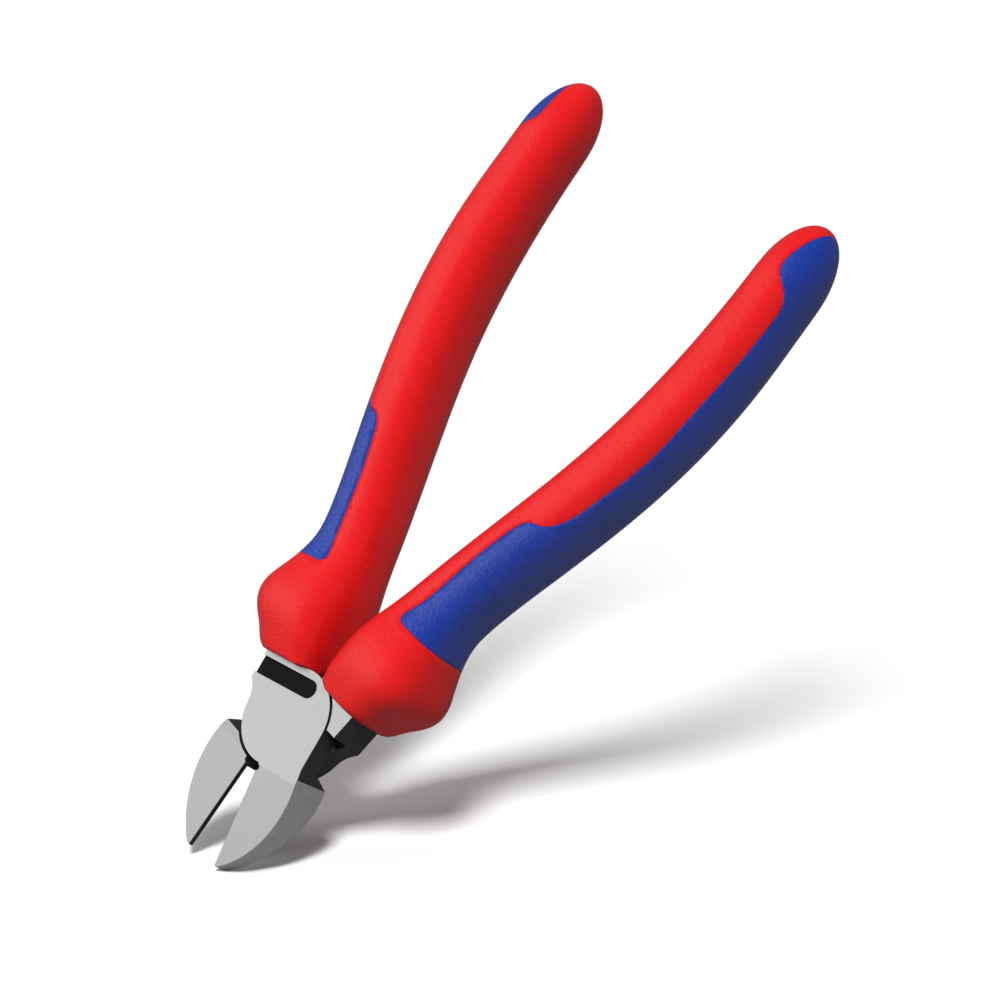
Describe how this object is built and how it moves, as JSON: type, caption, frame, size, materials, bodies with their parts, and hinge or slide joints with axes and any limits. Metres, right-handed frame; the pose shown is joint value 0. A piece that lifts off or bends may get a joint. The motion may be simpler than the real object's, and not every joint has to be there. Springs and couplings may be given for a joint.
{
  "type": "diagonal cutting pliers",
  "caption": "Lap-joint diagonal cutting pliers with angled cutting jaws, riveted pivot and long two-material moulded grips that spread apart.",
  "frame": {"origin": "on the pivot axis, in the ground front face of the joint", "axes": "+Y from the joint towards the handles, +X to the right seen from the front, +Z out of the front face; stored partly open"},
  "size_m": [0.0778, 0.1566, 0.0196],
  "materials": {
    "dark_steel": "dark oxide steel, ground bright on the front of the head",
    "ground_steel": "finely ground",
    "red_plastic": "satin, finely grained",
    "blue_plastic": "matt, finely grained, soft"
  },
  "bodies": {
    "lower_half": {"rear_lever": "dark_steel", "right_grip_core": "red_plastic", "right_grip_cover": "blue_plastic"},
    "upper_half": {"front_lever": "dark_steel", "left_grip_core": "red_plastic", "left_grip_cover": "blue_plastic", "pivot_rivet": "ground_steel"}
  },
  "joints": [
    {"name": "jaw_pivot", "type": "hinge", "parent": "lower_half", "child": "upper_half", "pos_m": [0, 0, -0.0043], "axis": [0, 0, 1], "range_deg": [-15.1, 23.5]}
  ]
}
